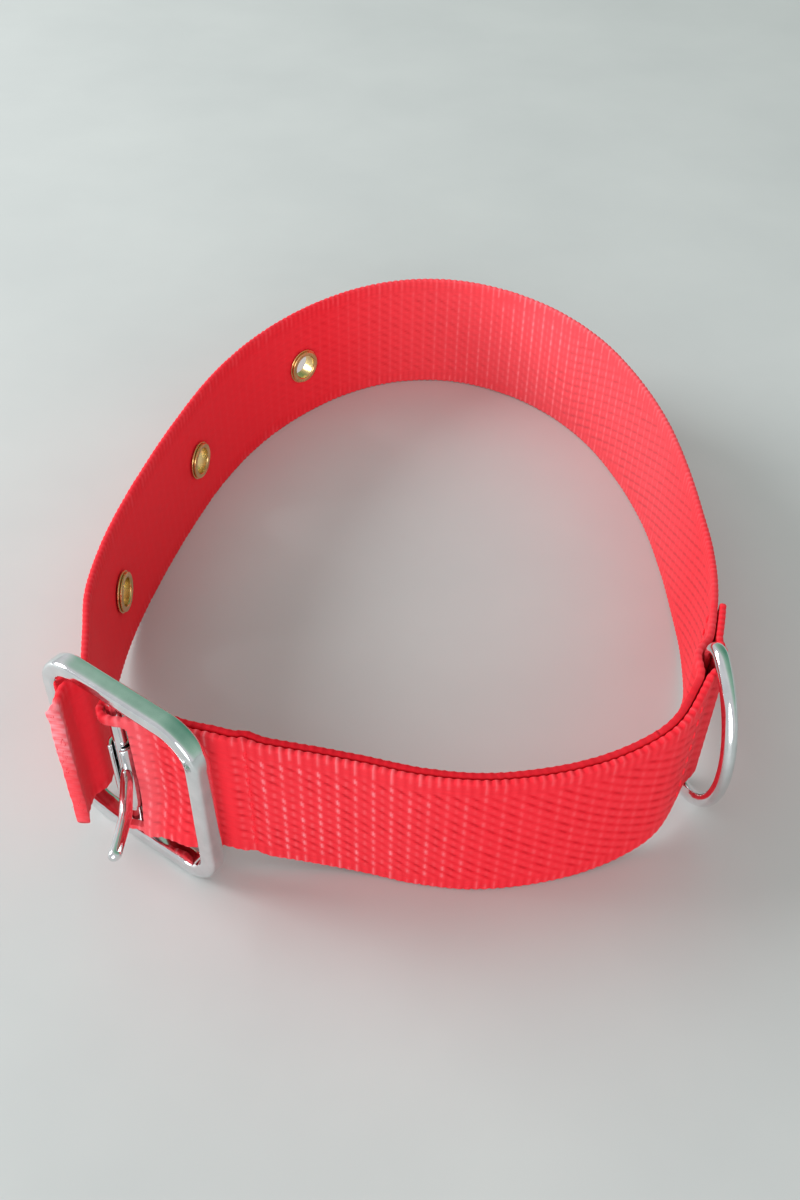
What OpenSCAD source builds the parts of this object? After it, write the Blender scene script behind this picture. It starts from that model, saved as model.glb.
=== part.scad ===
// Flat webbing dog collar with a centre bar buckle, a leash ring and three eyelets.
// One strip of webbing runs from the loose tail round the neck to the buckle, folds round the
// buckle's centre bar and comes back as a second ply, which traps the ring's straight bar.
// Millimetres, +Z up. The collar stands on its edge with its buckle to the front left.

/* [Webbing] */
// Width of the webbing
strap_w = 33; // [31:0.5:33.5]
// Thickness of one ply
ply_t = 1.4; // [1.2:0.1:1.6]
// Gap between the two sewn plies
ply_gap = 0.2; // [0.1:0.05:0.4]
// Bevel of the woven edges
selvage = 0.3; // [0.2:0.1:0.4]

/* [Buckle] */
// Outside width of the frame, along the strap
frame_w = 38.5; // [38:0.5:42]
// Outside height of the frame, across the strap
frame_h = 43.5; // [42:0.5:45]
// Width of the frame's bars
frame_bar = 3.3; // [3:0.1:4]
// Depth of the frame's bars
frame_d = 4; // [3:0.5:4]
// Radius of the frame's corners, at the middle of the bars
frame_corner = 7; // [5:0.5:7]
// Diameter of the centre bar
bar_dia = 3; // [2.6:0.1:3.2]
// Length of the tongue from the centre bar
tongue_l = 21; // [20:0.5:22]
// Thickness of the tongue's wire
tongue_dia = 2.4; // [2:0.1:2.6]
// Angle that the tongue hangs open from the frame
tongue_open = 46; // [46:1:90]

/* [Leash ring] */
// Thickness of the ring's wire
ring_wire = 2.9; // [2.6:0.1:3]
// Depth of the ring, from its straight bar to its bow
ring_depth = 16; // [15:0.5:18]
// Angle of the ring's bow from straight ahead
ring_turn = 9; // [0:1:60]

/* [Eyelets] */
// Diameter of the eyelet's hole
eyelet_hole = 6.4; // [5.6:0.1:6.6]
// Outside diameter of the eyelet's flange
eyelet_flange = 9.6; // [9.4:0.1:11]
// Distance from the strap's tip to the first eyelet
eyelet_first = 55; // [50:1:60]
// Distance between eyelets
eyelet_pitch = 50; // [40:1:55]

/* [Sewing] */
// Thickness of the sewing thread
thread_t = 0.7; // [0.5:0.1:0.9]
// Length of one stitch
stitch_l = 2.8; // [2.4:0.1:3.2]
// Stitches in one row across the strap
stitches = 8; // [5:1:8]

/* [Hidden] */
$fn = 48;

// Colours
webbing_red = [0.86, 0.1, 0.14];
thread_red = [0.93, 0.25, 0.28];
chrome = [0.8, 0.82, 0.83];
brass = [0.8, 0.62, 0.28];

// Route of the ply that lies against the neck, from the tail's tip: x, y, height of its lower edge
ring_route = [
    [-60.6, -74.2, 6.4], [-60.4, -67.5, 5.9], [-57.9, -63.4, 5.7], [-59.5, -53, 4.6],
    [-62, -40, 3], [-62.5, -26, 1.2], [-61.5, -13, 0.2], [-59, 1, 0], [-54.5, 20, 0],
    [-48, 41, 0], [-39.5, 58.5, 0], [-28.5, 73, 0], [-15.5, 84, 0], [-1.5, 90, 0],
    [13.5, 90.5, 0], [28, 85, 0], [40.5, 75, 0], [50.5, 61, 0], [57.5, 44, 0],
    [62, 26, 0], [64, 8, 0], [64.5, -9, 0.3], [64, -23, 1.5], [61.8, -38.1, 3.2],
    [57.1, -55.2, 4.5], [53.5, -63.3, 4], [48.9, -70, 2.6], [42.3, -74.1, 1], [33.7, -77.6, 0.2],
    [23.6, -80.1, 0], [13.5, -81.1, 0], [3.5, -80.1, 0], [-6.5, -78.1, 0.5],
    [-17.5, -77.1, 2.2], [-26.5, -77, 4]
];
// Steps between two points of the route, across the fold and along the outer ply
route_steps = 6;
fold_steps = 12;
outer_steps = 72;

// Buckle: middle of its foot, its turn in plan, and its centre bar left of the middle
buckle_at = [-49, -72.5];
buckle_yaw = -35;
bar_x = -2;
// Rounding of the frame's bars
bar_edge = 1.2;
// Depth of the bar's ends in the frame, and their room
bar_seat = 2;
bar_room = 0.02;
bar_length = frame_h - 2 * frame_bar + 2 * bar_seat;
frame_mid = frame_h / 2;

// Height of the strap's lower edge in the buckle and behind the frame's right bar
buckle_lift = 5;
frame_lift = 4.8;
tongue_z = buckle_lift + strap_w / 2;
// Room between the plies and the frame's right bar
frame_clear = 1;
ply_step = ply_t + ply_gap;
behind_frame = frame_d / 2 + frame_clear + ply_t / 2 + ply_step;

// Fold round the centre bar, and the distance over which the plies close up beside it
bar_clear = 0.35;
fold_r = bar_dia / 2 + bar_clear + ply_t / 2;
fold_close = 7;
// The inner ply's way into the fold: distance from the bar, and how far it is still off the fold
fold_ease = [[11, 1.9], [4, 0.25], [0, 0]];
// Slot in the fold for the tongue, and the narrow bands that it leaves round the bar
fold_band = 1.7;
slot_h = strap_w - 2 * fold_band;
slot_left = 6;
slot_right = 3.6;
slot_corner = 1.5;

// Tongue: sleeve rolled round the bar, and its prong
sleeve_wall = 0.9;
sleeve_h = 17;
sleeve_drop = 1.8;
sleeve_turn = 282;
sleeve_clear = 0.3;
sleeve_r = bar_dia / 2 + sleeve_clear;
prong_root = sleeve_r + 0.2;
prong_bend = 12;
prong_turn = 12;
bend_l = 2.4;
prong_steps = 3;
bend_steps = 4;
tip_steps = 6;
tip_angle = 85;
wire_sides = 24;

// Leash ring: its point of the route, and how the plies part round its bar: their room, the length
// and height of the swelling, and the inner ply's share of it
ring_point = 24;
ring_clear = 0.3;
ring_swell = 6;
ring_share = 0.5;
ring_swelling = ring_wire + 2 * ring_clear + ply_t - ply_step;
// Tail of the outer ply past the ring
ring_tail = 16;
// Radii of the ring's corners and bow, and what its straight bar is thicker
ring_corner = 2.6;
ring_bow = 21;
bar_extra = 0.06;
bar_overlap = 0.2;
corner_steps = 7;
bow_steps = 28;
bow_x = ring_depth - ring_bow;
ring_straight = sqrt(pow(ring_bow - ring_corner, 2) - pow(ring_corner - bow_x, 2));
bow_turn = atan2(ring_straight, ring_corner - bow_x);
ring_mid = ring_straight + ring_corner + ring_wire / 2;

// Eyelets: barrel wall and its room in the webbing, flange, turned lip and washer
eyelet_wall = 0.4;
barrel_room = 0.1;
flange_t = 0.8;
flange_round = 1.2;
lip_t = 0.6;
lip_w = 0.9;
washer_t = 0.5;
washer_room = 0.05;
washer_bevel = 0.3;
// The strap is hollow on its inside, so the washer bears on its rim
washer_seat = 0.25;
seat_gap = 0.02;

// Seams, measured along the strap from the ring's bar, the outer ply's end and the frame's bar
seam_from_ring = 10;
seam_from_end = 1.8;
seam_from_frame = 1.5;
// Bare edge of the webbing above and below a seam
seam_edge = 2;

// Smooth curve through a list of points
function spline_point(p, i, t) =
    let (n = len(p) - 1,
         a = i > 0 ? p[i - 1] : 2 * p[0] - p[1],
         b = p[i],
         c = p[i + 1],
         d = i + 2 <= n ? p[i + 2] : 2 * p[n] - p[n - 1],
         square_term = 2 * a - 5 * b + 4 * c - d,
         cube_term = 3 * b - a - 3 * c + d)
    b + 0.5 * ((c - a) * t + square_term * t * t + cube_term * t * t * t);
function spline(p, steps) = [
    for (i = [0 : len(p) - 2], k = [0 : steps - 1]) spline_point(p, i, k / steps),
    p[len(p) - 1]
];
function floor_at_zero(p) = [for (q = p) [q.x, q.y, max(0, q.z)]];
function smooth(t) = let (u = min(1, max(0, t))) u * u * (3 - 2 * u);

// Plan direction of a path at a point, and the direction to its left, which is out of the collar
function plan(p) = [p.x, p.y];
function unit(v) = v / norm(v);
function tangent(path, i) =
    unit(plan(path[min(len(path) - 1, i + 1)]) - plan(path[max(0, i - 1)]));
function outward(t) = [-t.y, t.x];

// Length along a path up to each of its points
function running_length(path, i = 0, sum = 0, out = []) =
    i >= len(path) ? out :
    let (s = i == 0 ? 0 : sum + norm(plan(path[i]) - plan(path[i - 1])))
    running_length(path, i + 1, s, concat(out, [s]));

// Point in the buckle's own plan: along the frame, and outwards from its middle plane
function buckle_point(along, out, lift = buckle_lift) = [
    buckle_at.x + along * cos(buckle_yaw) + out * sin(buckle_yaw),
    buckle_at.y + along * sin(buckle_yaw) - out * cos(buckle_yaw),
    lift
];

// Ply against the neck, from the tail to the fold
inner_route = concat(
    ring_route,
    [buckle_point(frame_w / 2 - frame_bar / 2, -behind_frame, frame_lift)],
    [for (e = fold_ease) buckle_point(bar_x + e[0], -fold_r - e[1])]
);
route = floor_at_zero(spline(inner_route, route_steps));
route_last = len(route) - 1;
route_length = running_length(route);
ring_index = ring_point * route_steps;
ring_station = route_length[ring_index];
fold_station = route_length[route_last];
frame_station = route_length[len(ring_route) * route_steps];
function eyelet_station(i) = eyelet_first + (i - 1) * eyelet_pitch;

// Place on the route at a distance from the tail's tip: point and plan direction
function station(s) =
    let (i = min(route_last - 1, len([for (v = route_length) if (v <= s) 1]) - 1),
         u = (s - route_length[i]) / (route_length[i + 1] - route_length[i]))
    [route[i] * (1 - u) + route[i + 1] * u,
     unit(tangent(route, i) * (1 - u) + tangent(route, i + 1) * u)];

// Point beside the route, out of the collar
function beside(p, t, out) =
    let (q = plan(p) + out * outward(t))
    [q.x, q.y, p.z];

// The plies part round the ring's bar
function swell(s) =
    let (u = min(1, abs(s - ring_station) / ring_swell))
    ring_swelling * (1 + cos(180 * u)) / 2;
inner_ply = [
    for (i = [0 : route_last])
        beside(route[i], tangent(route, i), -ring_share * swell(route_length[i]))
];

// Fold, and the outer ply from the fold to its end past the ring
fold = [
    for (k = [1 : fold_steps - 1])
        let (a = 180 * k / fold_steps)
        buckle_point(bar_x - fold_r * sin(a), -fold_r * cos(a))
];
function fold_open(s) = (2 * fold_r - ply_step) * (1 - smooth((fold_station - s) / fold_close));
outer_length = fold_station - ring_station + ring_tail;
outer_ply = [
    for (k = [0 : outer_steps])
        let (s = fold_station - outer_length * k / outer_steps,
             here = station(s))
        beside(here[0], here[1], ply_step + (1 - ring_share) * swell(s) + fold_open(s))
];
strap_path = concat(inner_ply, fold, outer_ply);

// Axis of the ring's bar
ring_out = ply_t / 2 + ring_clear + ring_wire / 2 - ring_share * ring_swelling;
ring_axis = plan(beside(route[ring_index], tangent(route, ring_index), ring_out));

// Rounded rectangle, as points
function rounded(w, h, r, steps = 4) = [
    for (q = [0 : 3], k = [0 : steps])
        let (a = 90 * q + 90 * k / steps,
             sx = (q == 0 || q == 3) ? 1 : -1,
             sy = q < 2 ? 1 : -1)
        [sx * (w / 2 - r) + r * cos(a), sy * (h / 2 - r) + r * sin(a)]
];
function arc(x, y, r, from, to, steps) = [
    for (k = [1 : steps])
        let (a = from + (to - from) * k / steps)
        [x + r * cos(a), y + r * sin(a)]
];

// Solid skin over a row of sections with m points each
module loft(sections, m) {
    n = len(sections);
    sides = [
        for (i = [0 : n - 2], k = [0 : m - 1])
            let (a = i * m + k, b = i * m + (k + 1) % m)
            each [[a, b + m, b], [a, a + m, b + m]]
    ];
    first = [for (k = [0 : m - 1]) k];
    last = [for (k = [m - 1 : -1 : 0]) (n - 1) * m + k];
    polyhedron([for (s = sections) each s], concat(sides, [first, last]), convexity = 10);
}

// Bevelled section of the webbing at a point of its path
function band_section(p, t) =
    let (n = outward(t), a = ply_t / 2, b = a - selvage, h = strap_w)
    [for (q = [[-a, selvage], [-b, 0], [b, 0], [a, selvage],
               [a, h - selvage], [b, h], [-b, h], [-a, h - selvage]])
        [p.x + n.x * q.x, p.y + n.y * q.x, p.z + q.y]];

// Round wire along a path in its own plane, with a radius at each point
module wire(path, radii) {
    loft([
        for (i = [0 : len(path) - 1])
            let (q = outward(tangent(path, i)), r = radii[i])
            [for (k = [0 : wire_sides - 1])
                let (a = 360 * k / wire_sides)
                [path[i].x + q.x * r * cos(a), path[i].y + q.y * r * cos(a), r * sin(a)]]
    ], wire_sides);
}

// Places
module at_buckle() {
    translate([buckle_at.x, buckle_at.y, 0]) rotate([0, 0, buckle_yaw]) children();
}
module at_bar() {
    at_buckle() translate([bar_x, 0, 0]) children();
}
module at_ring() {
    translate([ring_axis.x, ring_axis.y, ring_mid])
        rotate([0, 0, ring_turn - 90]) rotate([90, 0, 0]) children();
}
// Axis out of the collar, through the middle of the strap
module at_station(s) {
    place = station(s);
    n = outward(place[1]);
    translate([place[0].x, place[0].y, place[0].z + strap_w / 2])
        rotate([0, 0, atan2(n.y, n.x)]) rotate([0, 90, 0]) children();
}

// Webbing
module slot() {
    translate([(slot_right - slot_left) / 2, 0, tongue_z]) rotate([90, 0, 0])
        linear_extrude(4 * fold_r, center = true)
            polygon(rounded(slot_left + slot_right, slot_h, slot_corner));
}
module strap() {
    barrel = eyelet_hole / 2 + eyelet_wall + barrel_room;
    color(webbing_red) difference() {
        loft([
            for (i = [0 : len(strap_path) - 1])
                band_section(strap_path[i], tangent(strap_path, i))
        ], 8);
        for (i = [1 : 3]) at_station(eyelet_station(i))
            cylinder(r = barrel, h = 4 * ply_t, center = true);
        at_bar() slot();
    }
}

// Buckle frame: four bars of rounded section joined by quarter turns
module frame_section() {
    polygon(rounded(frame_bar, frame_d, bar_edge));
}
module frame_straight(l) {
    linear_extrude(l, center = true) frame_section();
}
module frame_turn() {
    rotate_extrude(angle = 90) translate([frame_corner, 0]) frame_section();
}
module buckle_frame() {
    half_w = frame_w / 2 - frame_bar / 2;
    half_h = frame_h / 2 - frame_bar / 2;
    color(chrome) at_buckle() translate([0, 0, frame_mid]) difference() {
        union() {
            for (s = [-1, 1]) {
                translate([s * half_w, 0, 0]) frame_straight(2 * (half_h - frame_corner));
                translate([0, 0, s * half_h]) rotate([0, 90, 0])
                    frame_straight(2 * (half_w - frame_corner));
            }
            for (q = [0 : 3])
                let (sx = (q == 0 || q == 3) ? 1 : -1, sz = q < 2 ? 1 : -1)
                translate([sx * (half_w - frame_corner), 0, sz * (half_h - frame_corner)])
                    rotate([90, 0, 0]) rotate([0, 0, 90 * q]) frame_turn();
        }
        translate([bar_x, 0, 0])
            cylinder(r = bar_dia / 2 + bar_room, h = bar_length + 2 * bar_room, center = true);
    }
}
module centre_bar() {
    color(chrome) at_bar() translate([0, 0, frame_mid])
        cylinder(d = bar_dia, h = bar_length, center = true);
}

// Tongue: a sleeve rolled round the centre bar, open along a seam, and a prong with a slight bend
function prong_drop(x) =
    let (u = x - prong_bend + bend_l / 2)
    tan(prong_turn) * (u < 0 ? 0 : u < bend_l ? u * u / (2 * bend_l) : u - bend_l / 2);
module prong() {
    r = tongue_dia / 2;
    bend_from = prong_bend - bend_l / 2;
    tip_from = tongue_l - r;
    along = concat(
        [for (k = [0 : prong_steps - 1]) prong_root + (bend_from - prong_root) * k / prong_steps],
        [for (k = [0 : bend_steps]) bend_from + bend_l * k / bend_steps],
        [for (k = [0 : tip_steps]) tip_from + r * sin(tip_angle * k / tip_steps)]
    );
    radii = [for (x = along) x < tip_from ? r : sqrt(r * r - pow(x - tip_from, 2))];
    wire([for (x = along) [x, -prong_drop(x)]], radii);
}
module buckle_tongue() {
    color(chrome) at_bar() translate([0, 0, tongue_z]) rotate([0, 0, -tongue_open]) {
        translate([0, 0, -sleeve_h / 2 - sleeve_drop])
            rotate_extrude(angle = sleeve_turn)
                translate([sleeve_r, 0]) square([sleeve_wall, sleeve_h]);
        prong();
    }
}

// Leash ring: straight bar, two tight corners and a round bow
module d_ring() {
    end = ring_straight - 1;
    path = concat(
        [[0, end], [0, ring_straight]],
        arc(ring_corner, ring_straight, ring_corner, 180, bow_turn, corner_steps),
        arc(bow_x, 0, ring_bow, bow_turn, -bow_turn, bow_steps),
        arc(ring_corner, -ring_straight, ring_corner, -bow_turn, -180, corner_steps),
        [[0, -end]]
    );
    color(chrome) at_ring() {
        rotate([90, 0, 0])
            cylinder(d = ring_wire + bar_extra, h = 2 * (ring_straight + bar_overlap), center = true);
        wire(path, [for (p = path) ring_wire / 2]);
    }
}

// Eyelet: flanged barrel from outside, with its edge turned over the washer inside
module eyelet(i) {
    bore = eyelet_hole / 2;
    barrel = bore + eyelet_wall;
    rim = eyelet_flange / 2;
    top = ply_t / 2 + seat_gap;
    lip = -ply_t / 2 - washer_seat - washer_t - seat_gap;
    color(brass) at_station(eyelet_station(i)) rotate_extrude()
        polygon([
            [bore, lip - lip_t], [barrel + 2 / 3 * lip_w, lip - lip_t],
            [barrel + lip_w, lip - lip_t / 2], [barrel + lip_w, lip],
            [barrel, lip], [barrel, top],
            [rim, top], [rim, top + flange_t / 4],
            [rim - 0.4 * flange_round, top + 0.75 * flange_t], [rim - flange_round, top + flange_t],
            [barrel, top + flange_t], [bore, top + flange_t / 2]
        ]);
}
module eyelet_washer(i) {
    inside = eyelet_hole / 2 + eyelet_wall + washer_room;
    rim = eyelet_flange / 2;
    seat = -ply_t / 2 - washer_seat;
    color(brass) at_station(eyelet_station(i)) rotate_extrude()
        polygon([
            [inside, seat - washer_t], [rim - washer_bevel, seat - washer_t],
            [rim, seat - washer_t / 2], [rim, seat], [inside, seat]
        ]);
}

// Sewing: each stitch is a flat loop of thread through both plies
module stitch() {
    through = 2 * ply_t + ply_gap;
    translate([0, 0, -thread_t / 2]) linear_extrude(thread_t) difference() {
        polygon(rounded(through + 2 * thread_t, stitch_l, thread_t / 2, 2));
        square([through, stitch_l - 2 * thread_t], center = true);
    }
}
module seam_row(s) {
    place = station(s);
    n = outward(place[1]);
    mid = plan(place[0]) + n * ply_step / 2;
    pitch = (strap_w - 2 * seam_edge) / stitches;
    color(thread_red)
        for (k = [0 : stitches - 1])
            translate([mid.x, mid.y, place[0].z + strap_w / 2 + (k - (stitches - 1) / 2) * pitch])
                rotate([0, 0, atan2(n.y, n.x)]) rotate([90, 0, 0]) stitch();
}
module buckle_seam() {
    seam_row(frame_station - frame_bar / 2 - seam_from_frame);
}
module ring_front_seam() {
    seam_row(ring_station + seam_from_ring);
}
module ring_end_seam() {
    seam_row(ring_station - ring_tail + seam_from_end);
}

strap();
buckle_frame();
centre_bar();
buckle_tongue();
d_ring();
eyelet(1);  // eyelet_1
eyelet(2);  // eyelet_2
eyelet(3);  // eyelet_3
eyelet_washer(1);  // eyelet_washer_1
eyelet_washer(2);  // eyelet_washer_2
eyelet_washer(3);  // eyelet_washer_3
buckle_seam();
ring_front_seam();
ring_end_seam();
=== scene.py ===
import math

import bpy
import numpy as np
from mathutils import Matrix


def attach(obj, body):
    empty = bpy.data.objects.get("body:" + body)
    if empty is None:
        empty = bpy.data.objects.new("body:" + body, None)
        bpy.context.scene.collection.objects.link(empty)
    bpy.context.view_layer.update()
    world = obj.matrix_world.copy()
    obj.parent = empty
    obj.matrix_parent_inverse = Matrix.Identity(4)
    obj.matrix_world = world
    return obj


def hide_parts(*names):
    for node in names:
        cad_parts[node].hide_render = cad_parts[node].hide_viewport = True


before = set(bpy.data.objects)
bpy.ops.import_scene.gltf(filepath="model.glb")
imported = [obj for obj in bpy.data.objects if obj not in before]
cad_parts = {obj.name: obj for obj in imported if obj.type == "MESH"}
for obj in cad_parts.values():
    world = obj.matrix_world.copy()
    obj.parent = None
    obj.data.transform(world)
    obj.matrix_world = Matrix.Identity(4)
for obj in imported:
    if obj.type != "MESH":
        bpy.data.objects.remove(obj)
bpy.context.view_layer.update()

# Millimetres throughout, as in the part's source. Meshes are scaled to metres when they are made.
MM = 0.001
RNG = np.random.default_rng(7)
UP = np.array([0, 0, 1.0])

# Webbing
STRAP_W = 33
PLY_T = 1.4
PLY_GAP = 0.2
PLY_STEP = PLY_T + PLY_GAP
# Route of the ply against the neck, from the tail's tip: x, y, height of its lower edge
RING_ROUTE = [
    [-60.6, -74.2, 6.4], [-60.4, -67.5, 5.9], [-57.9, -63.4, 5.7], [-59.5, -53, 4.6],
    [-62, -40, 3], [-62.5, -26, 1.2], [-61.5, -13, 0.2], [-59, 1, 0], [-54.5, 20, 0],
    [-48, 41, 0], [-39.5, 58.5, 0], [-28.5, 73, 0], [-15.5, 84, 0], [-1.5, 90, 0],
    [13.5, 90.5, 0], [28, 85, 0], [40.5, 75, 0], [50.5, 61, 0], [57.5, 44, 0], [62, 26, 0],
    [64, 8, 0], [64.5, -9, 0.3], [64, -23, 1.5], [61.8, -38.1, 3.2], [57.1, -55.2, 4.5],
    [53.5, -63.3, 4], [48.9, -70, 2.6], [42.3, -74.1, 1], [33.7, -77.6, 0.2], [23.6, -80.1, 0],
    [13.5, -81.1, 0], [3.5, -80.1, 0], [-6.5, -78.1, 0.5], [-17.5, -77.1, 2.2], [-26.5, -77, 4],
]
ROUTE_STEPS = 24

# Buckle
BUCKLE_AT = np.array([-49, -72.5])
BUCKLE_YAW = math.radians(-35)
FRAME_WAY = np.array([math.cos(BUCKLE_YAW), math.sin(BUCKLE_YAW)])
BUCKLE_LIFT = 5
FRAME_LIFT = 4.8
FRAME_W = 38.5
FRAME_H = 43.5
FRAME_BAR = 3.3
FRAME_D = 4
FRAME_CORNER = 7
FRAME_CLEAR = 1
BAR_X = -2
BAR_DIA = 3
BAR_CLEAR = 0.35
TONGUE_Z = BUCKLE_LIFT + STRAP_W / 2
TONGUE_L = 21
TONGUE_DIA = 2.4
TONGUE_OPEN = math.radians(46)
SLEEVE_ROOM = 0.3
SLEEVE_R = BAR_DIA / 2 + SLEEVE_ROOM
SLEEVE_WALL = 0.9
SLEEVE_H = 17
SLEEVE_DROP = 1.8
SLEEVE_TURN = math.radians(282)
# Heights and insets of the sleeve's rounded ends
SLEEVE_ENDS = [(0.0, 0.22), (0.06, 0.08), (0.22, 0.0)]
PRONG_BEND = 12
PRONG_TURN = math.radians(12)
BEND_L = 2.4
# The prong's root: how far it starts in the sleeve, its length, how much taller it is and thinner
ROOT_SUNK = 0.1
ROOT_L = 1.1
ROOT_TALLER = 0.55
ROOT_THINNER = 0.12

# Fold round the centre bar, with the tongue's slot
FOLD_R = BAR_DIA / 2 + BAR_CLEAR + PLY_T / 2
FOLD_CLOSE = 7
FOLD_EASE = [[11, 1.9], [4, 0.25], [0, 0]]
FOLD_BAND = 1.7
SLOT_H = STRAP_W - 2 * FOLD_BAND
SLOT_RIGHT = 3.6
SLOT_CORNER = 1.5
SLOT_REACH = 20
# The soft plies give way behind the frame's right bar: how far, and over what length each way
SET_BACK = 2.4
SET_BACK_SPAN = 9
# The near ply's lower edge bellies out: how far, up to what height, and where along the frame
BELLY = 2.3
BELLY_TOP = 13
BELLY_RISE = 3.5
BELLY_END = 16
BELLY_FALL = 6
NEAR_PLY_L = 30

# Leash ring
RING_POINT = 24
RING_WIRE = 2.9
RING_CLEAR = 0.3
RING_DEPTH = 16
RING_TURN = math.radians(9)
RING_CORNER = 2.6
RING_BOW = 21
RING_SWELL = 6
RING_SHARE = 0.5
RING_SWELLING = RING_WIRE + 2 * RING_CLEAR + PLY_T - PLY_STEP
RING_TAIL = 16

# Eyelets
EYELET_FIRST = 55
EYELET_PITCH = 50
EYELETS_AT = [EYELET_FIRST + i * EYELET_PITCH for i in range(3)]
EYELET_HOLE = 6.4
EYELET_FLANGE = 9.6
EYELET_WALL = 0.4
EYELET_ROOM = 0.02
EYELET_SOFT = 0.45
BARREL_ROOM = 0.1
HOLE_R = EYELET_HOLE / 2 + EYELET_WALL + BARREL_ROOM
FLANGE_T = 0.8
FLANGE_SIDE = 0.6 * FLANGE_T
FLANGE_BEVEL = 0.9
LIP_T = 0.6
LIP_W = 0.9
WASHER_T = 0.5
WASHER_SEAT = 0.25
WASHER_ROOM = 0.05
WASHER_SOFT = 0.22

# Sewing
SEAM_FROM_RING = 10
SEAM_FROM_END = 1.8
SEAM_FROM_FRAME = 1.5
SEAM_EDGE = 2
THREAD_T = 0.7
THREAD_SIDES = 12
THREAD_TWISTS = 7
STITCH_L = 2.8
STITCHES = 8
STITCH_SINK = 0.3
STITCH_PULL = 0.22
STITCH_CORNER = 0.7
STITCH_BULGE = 0.12
STITCH_TILT = 0.05
STITCH_STRAY = 0.08

# Weave: distance between picks, height of one diagonal rib, depth of the relief as a share of the
# ply, height of a rib in the relief, half width of a dash and strength of every second one
PICK = 1.65
RIB = 2.4
RELIEF = 0.2
RIB_HIGH = 0.78
DASH_W = 0.28
ODD_DASH = 0.25
# Selvage: its width and how it meets the ribs, its scallops, its teeth and the strap's round edge
SELVAGE = 2.4
SELVAGE_BLEND = 2.2
SCALLOP = 0.5
TOOTH_L = 0.7 * SELVAGE
TOOTH_LONGER = 1.1
TOOTH_STRAY = 2.4
STROKE_W = 0.2
STROKE_END = 0.8
EDGE_ROUND = 0.45
# Unevenness of the weave along and across the strap
STRAY_S = 0.14
STRAY_S_SIZE = 30
STRAY_H = 0.25
STRAY_H_SIZE = 34
# Weave pressed flat along the seams, and a bare band beside the frame
SEAM_PRESS = 0.6
SEAM_BAND = 0.9
BARE_FROM_SEAM = 3.7
BARE_BAND = 1.4
PRESSED_HIGH = 0.7
PRESSED_TONE = 0.75
PRESSED_SHARE = 0.8
PRESSED_DEPTH = 0.03
BARE_TONE = 0.3
# Painted shade in deep red on the edge under the outer ply, from the ring on, and on the bands round the
# centre bar
SHADE_RISE = 12
SHADE_FULL = 90
BAND_START = 4
BAND_RISE = 3
BAND_END = 3
BAND_FALL = 4
BAND_SHADE = 0.8
# The tail's sealed end: its swelling, its ragged edge, its pale length and the knots there
END_L = 1.3
END_SWELL = 0.85
END_RAGGED = 0.6
END_WAVE = 7.0
END_PALE = 3.2
END_PALE_FADE = 1.2
END_PALE_LOW = 12
END_PALE_RISE = 14
KNOT_L = 2.6
KNOT_H = 2.1
KNOT_SHIFT = 2.4
# Painted highlight on the edge of the near ply, where it turns to the bar
TURNED_HIGHLIGHT = 0.21
TURNED_W = 5
TURNED_FADE = 4
# Loose fibres at the tail's end: how many, their place, lengths and radii
FIBRES = 46
FIBRE_ROOT = 0.4
FIBRE_ACROSS = 0.9
FIBRE_EDGE = 0.6
FIBRE_L = (0.3, 1.1)
FIBRE_R = (0.05, 0.10)


def smooth(t):
    """A smooth step from 0 to 1."""
    u = np.clip(t, 0, 1)
    return u * u * (3 - 2 * u)


def hump(distance, width, power=2):
    """1 at no distance, falling over the given width; a higher power makes the top flatter."""
    return np.exp(-((distance / width) ** power))


# Paths

def spline(points, steps):
    """Points of a smooth curve through a list of points."""
    p = np.asarray(points, float)
    p = np.vstack([2 * p[0] - p[1], p, 2 * p[-1] - p[-2]])
    t = np.arange(steps)[:, None] / steps
    spans = []
    for a, b, c, d in zip(p, p[1:], p[2:], p[3:]):
        square_term = 2 * a - 5 * b + 4 * c - d
        cube_term = 3 * b - a - 3 * c + d
        spans.append(b + 0.5 * ((c - a) * t + square_term * t**2 + cube_term * t**3))
    return np.vstack(spans + [p[-2:-1]])


def running_length(path):
    steps = np.linalg.norm(np.diff(path[:, :2], axis=0), axis=1)
    return np.concatenate([[0], np.cumsum(steps)])


def tangents(path):
    t = np.gradient(path[:, :2], axis=0)
    return t / np.linalg.norm(t, axis=1)[:, None]


def at_length(path, length, s):
    """Points and plan directions of a path at distances s from its start."""
    t = tangents(path)
    points = np.stack([np.interp(s, length, path[:, i]) for i in range(3)], -1)
    turns = np.stack([np.interp(s, length, t[:, i]) for i in range(2)], -1)
    return points, turns / np.linalg.norm(turns, axis=-1)[..., None]


def outward(t):
    """Direction to the left of a path, which is out of the collar along the ply at the neck."""
    return np.stack([-t[..., 1], t[..., 0]], -1)


def from_buckle(x, y, z, yaw=BUCKLE_YAW, shift=0.0):
    """Points in the buckle's own frame, or turned about its centre bar, placed in the collar."""
    bar = BUCKLE_AT + shift * FRAME_WAY
    along = np.array([math.cos(yaw), math.sin(yaw)])
    across = np.array([-along[1], along[0]])
    x, y, z = np.broadcast_arrays(*(np.asarray(v, float) for v in (x, y, z)))
    plan = bar + x[..., None] * along + y[..., None] * across
    return np.concatenate([plan, z[..., None]], -1)


def along_frame(points):
    """Distance of points along the buckle's frame, from its middle."""
    return (points[..., :2] - BUCKLE_AT) @ FRAME_WAY


# Strap: the ply at the neck, the fold round the centre bar, and the outer ply

def neck_route():
    behind_frame = FRAME_D / 2 + FRAME_CLEAR + PLY_T / 2 + PLY_STEP
    into_fold = [from_buckle(FRAME_W / 2 - FRAME_BAR / 2, behind_frame, FRAME_LIFT)]
    for along, off in FOLD_EASE:
        into_fold.append(from_buckle(BAR_X + along, FOLD_R + off, BUCKLE_LIFT))
    return np.vstack([RING_ROUTE, into_fold])


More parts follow.
